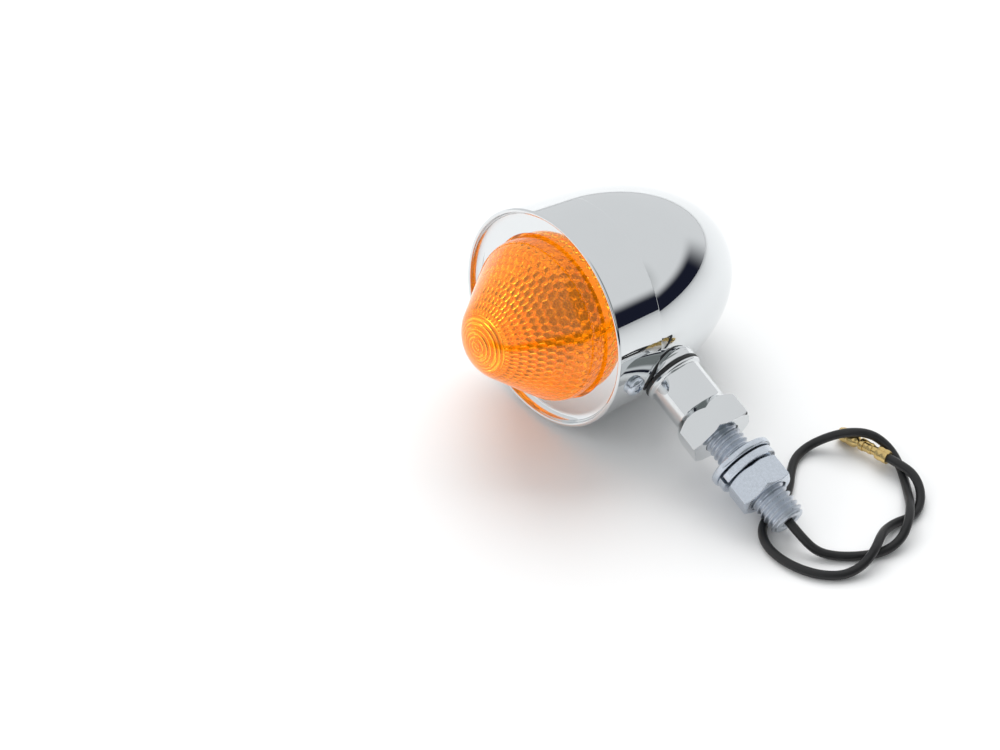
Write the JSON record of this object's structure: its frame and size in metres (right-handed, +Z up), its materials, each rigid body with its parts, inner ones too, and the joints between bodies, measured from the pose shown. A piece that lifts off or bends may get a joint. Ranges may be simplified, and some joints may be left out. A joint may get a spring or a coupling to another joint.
{
  "type": "turn signal indicator",
  "caption": "Bullet-shaped motorcycle turn signal: chrome housing with visor bezel, domed amber lens and bayonet bulb, on a hollow threaded stud with hexagon stay, nut and washers, and a lead.",
  "frame": {"origin": "middle of the bottom of the box around the lamp without its free lead, on the surface that the lamp lies on", "axes": "+X the way the lens looks, +Y the way the mounting stud points, +Z up from the surface"},
  "size_m": [0.084, 0.1269, 0.0605],
  "materials": {
    "chrome": "polished",
    "amber_lens": "gloss",
    "zinc_steel": "satin",
    "socket_steel": "satin",
    "reflector_silver": "polished",
    "brass": "polished",
    "black_rubber": "satin",
    "brown_laminate": "matte",
    "clear_glass": "gloss",
    "black_glass": "gloss",
    "tungsten": "satin"
  },
  "bodies": {
    "stay": {"stay": "chrome", "stud": "zinc_steel", "neck_gasket": "black_rubber", "inner_lock_washer": "zinc_steel", "inner_nut": "zinc_steel", "lead_in_stud": "black_rubber", "lead_wire": "black_rubber", "bullet_terminal": "brass"},
    "head": {"housing": "chrome", "visor_bezel": "chrome", "bezel_screw": "zinc_steel", "lens": "amber_lens", "lens_gasket": "black_rubber", "reflector": "reflector_silver", "socket_shell": "socket_steel", "socket_rivets": "socket_steel", "socket_rear_cap": "brown_laminate", "contact_spring": "socket_steel", "contact_lead": "brass", "socket_lead": "black_rubber"},
    "bulb": {"bulb_cap": "brass", "bulb_pins": "brass", "bulb_insulator": "black_glass", "bulb_contact": "brass", "bulb_glass": "clear_glass", "filament_stem": "clear_glass", "filament_posts": "tungsten", "filament": "tungsten", "contact_pad": "brass", "contact_disc": "brown_laminate"},
    "washers": {"flat_washer": "zinc_steel", "spring_washer": "zinc_steel"},
    "nut": {"mounting_nut": "zinc_steel"}
  },
  "joints": [
    {"name": "head_swivel", "type": "hinge", "parent": "stay", "child": "head", "pos_m": [-0.00197, 0.00406, 0.01974], "axis": [0.0406, 0.9586, -0.2818], "range_deg": [-90, 90]},
    {"name": "nut_travel", "type": "slide", "parent": "stay", "child": "washers", "axis": [0.0406, 0.9586, -0.2818], "range_m": [-0.0069, 0.0005]},
    {"name": "nut_turn", "type": "hinge", "parent": "washers", "child": "nut", "pos_m": [-0.00044, 0.0402, 0.00912], "axis": [0.0406, 0.9586, -0.2818], "range_deg": [-1657, 121]},
    {"name": "bulb_push", "type": "slide", "parent": "head", "child": "bulb", "axis": [-0.9898, 0, -0.1426], "range_m": [0, 0.002], "stiffness_N_per_m": 2000, "springref_m": -0.001, "deforming": ["contact_spring", "contact_lead"]}
  ],
  "couplings": [
    {"joint": "nut_turn", "follows": "nut_travel", "rad_per_m": 4188.8}
  ]
}
